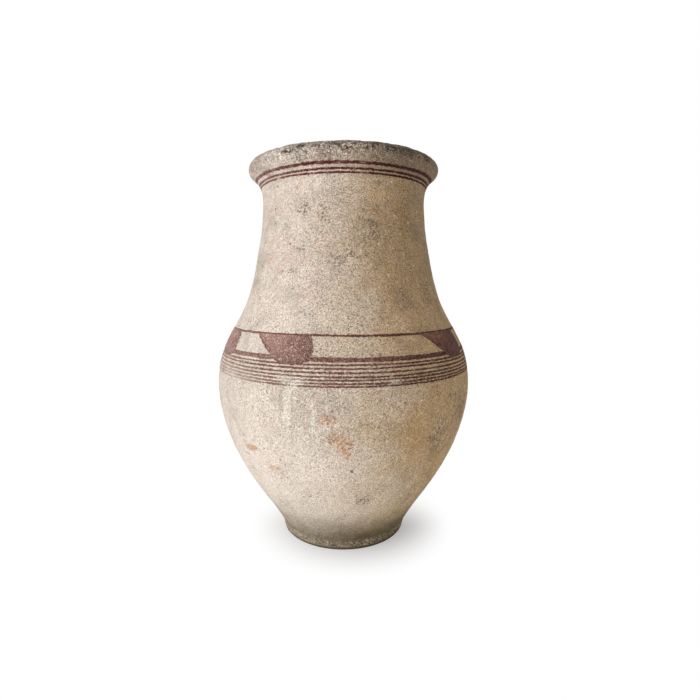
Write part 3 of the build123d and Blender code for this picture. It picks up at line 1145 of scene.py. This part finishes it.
class PITHOS_OT_stage(Operator):
    """Sets the pale floor, the soft light and the camera"""

    bl_idname = "pithos.stage"
    bl_label = "Stage"

    # Width of the image and place of the jar's axis in it, in pixels
    IMAGE = 700
    AXIS_LEFT = 6.5
    AXIS_UP = 1.0

    # The floor: its size, the middle of the shadow, and where the white takes over from it
    FLOOR_RADIUS = 8
    FLOOR_SIDES = 96
    SHADE = (0.02, 0, 0)
    SEEN_WHITE = (0.13, 0.27)
    LIT_WHITE = (0.17, 0.42)
    BEHIND = (-0.08, 0.11)
    BEHIND_GLOW = 0.42

    SENSOR = 36
    WHITE = (1, 1, 1, 1)
    RAYS = ("Is Camera Ray", "Is Glossy Ray", "Is Transmission Ray")

    def execute(self, context):
        stage = context.scene.pithos_stage
        self.floor(context.scene.pithos_colours, stage)
        self.world(context.scene, stage)
        self.key(stage)
        self.camera(context.scene, stage)
        context.scene.view_settings.view_transform = "Standard"
        return {"FINISHED"}

    def seen(self, tree):
        """1 for rays that show the stage itself, and 0 for rays that light the jar."""
        path = tree.nodes.new("ShaderNodeLightPath")
        camera, glossy, clear = (Value(tree, path.outputs[name]) for name in self.RAYS)
        return camera.at_least(glossy).at_least(clear)

    def floor(self, colours, stage):
        """A wide pale floor that keeps the shadow round the foot and is white farther out and behind."""
        deselect()
        bpy.ops.mesh.primitive_circle_add(
            vertices=self.FLOOR_SIDES, radius=self.FLOOR_RADIUS, fill_type="NGON"
        )
        floor = added("floor")
        finish = bpy.data.materials.new("pale_floor")
        finish.use_nodes = True
        tree = finish.node_tree
        tree.nodes.clear()
        seen = self.seen(tree)
        place = seen.node("ShaderNodeTexCoord", {}, {}, "Object")
        away = place.vector("SUBTRACT", self.SHADE).vector("LENGTH", (0, 0, 0), 1)
        far = away.ramp(*self.SEEN_WHITE)
        matte = seen.node("ShaderNodeBsdfDiffuse", {}, {"Color": shade(colours.floor)})
        white = seen.node("ShaderNodeEmission", {}, {"Color": self.WHITE, "Strength": 1.0})
        behind = place.vector("DOT_PRODUCT", (0, 1, 0), 1).ramp(*self.BEHIND)
        near = stage.floor_glow + behind * self.BEHIND_GLOW
        shown = near + far * (1 - near)
        lights = away.ramp(*self.LIT_WHITE) * stage.bounce
        glow = seen * shown + (1 - seen) * lights
        surface = seen.node("ShaderNodeMixShader", {}, {0: glow, 1: matte, 2: white})
        output = tree.nodes.new("ShaderNodeOutputMaterial")
        tree.links.new(surface.socket, output.inputs["Surface"])
        floor.data.materials.append(finish)

    def world(self, scene, stage):
        """White to look at, and an even soft light for the jar."""
        scene.world = bpy.data.worlds.new("studio")
        scene.world.use_nodes = True
        tree = scene.world.node_tree
        tree.nodes.clear()
        seen = self.seen(tree)
        soft = seen.node("ShaderNodeBackground", {}, {"Color": self.WHITE, "Strength": stage.sky})
        white = seen.node("ShaderNodeBackground", {}, {"Color": self.WHITE, "Strength": 1.0})
        surface = seen.node("ShaderNodeMixShader", {}, {0: seen, 1: soft, 2: white})
        output = tree.nodes.new("ShaderNodeOutputWorld")
        tree.links.new(surface.socket, output.inputs["Surface"])

    def key(self, stage):
        """A large soft light from the upper left."""
        aim = Vector((0, 0, CREST / 2))
        level = outward(stage.key_turn) * math.cos(stage.key_rise)
        place = aim + (level + UP * math.sin(stage.key_rise)) * stage.key_distance
        turned = (aim - place).to_track_quat("-Z", "Y").to_euler()
        bpy.ops.object.light_add(type="AREA", location=place, rotation=turned)
        key = bpy.context.object
        key.name = "key_light"
        key.data.size = stage.key_size
        key.data.energy = stage.key_power

    def camera(self, scene, stage):
        """A camera at the photograph's place, with the jar's axis a little left of the middle."""
        bpy.ops.object.camera_add(
            location=(0, -stage.distance, stage.eye), rotation=(math.radians(90) - stage.pitch, 0, 0)
        )
        camera = bpy.context.object
        camera.name = "camera"
        camera.data.lens = stage.focal
        camera.data.sensor_width = self.SENSOR
        camera.data.shift_x = self.AXIS_LEFT / self.IMAGE
        camera.data.shift_y = -self.AXIS_UP / self.IMAGE
        scene.camera = camera


class PITHOS_PT_panel(Panel):
    """Lists the jar's sizes, colours, stage and building steps"""

    bl_idname = "PITHOS_PT_panel"
    bl_label = "Pithos"
    bl_space_type = "VIEW_3D"
    bl_region_type = "UI"
    bl_category = "Pithos"

    def draw(self, context):
        for group in (context.scene.pithos_sizes, context.scene.pithos_colours, context.scene.pithos_stage):
            column = self.layout.column()
            for name in group.__annotations__:
                column.prop(group, name)
        for step in STEPS:
            self.layout.operator(step.bl_idname)


STEPS = (
    PITHOS_OT_clay_skin,
    PITHOS_OT_painted_lines,
    PITHOS_OT_hanging_panels,
    PITHOS_OT_wall_courses,
    PITHOS_OT_floor_coil,
    PITHOS_OT_stage,
)
CLASSES = (PithosSizes, PithosColours, PithosStage, *STEPS, PITHOS_PT_panel)


def register():
    for each in CLASSES:
        bpy.utils.register_class(each)
    bpy.types.Scene.pithos_sizes = PointerProperty(type=PithosSizes)
    bpy.types.Scene.pithos_colours = PointerProperty(type=PithosColours)
    bpy.types.Scene.pithos_stage = PointerProperty(type=PithosStage)


def unregister():
    del bpy.types.Scene.pithos_stage
    del bpy.types.Scene.pithos_colours
    del bpy.types.Scene.pithos_sizes
    for each in reversed(CLASSES):
        bpy.utils.unregister_class(each)


def main():
    register()
    bpy.ops.pithos.clay_skin()
    bpy.ops.pithos.painted_lines()
    bpy.ops.pithos.hanging_panels()
    bpy.ops.pithos.wall_courses()
    bpy.ops.pithos.floor_coil()
    bpy.ops.pithos.stage()
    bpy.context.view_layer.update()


if __name__ == "__main__":
    main()
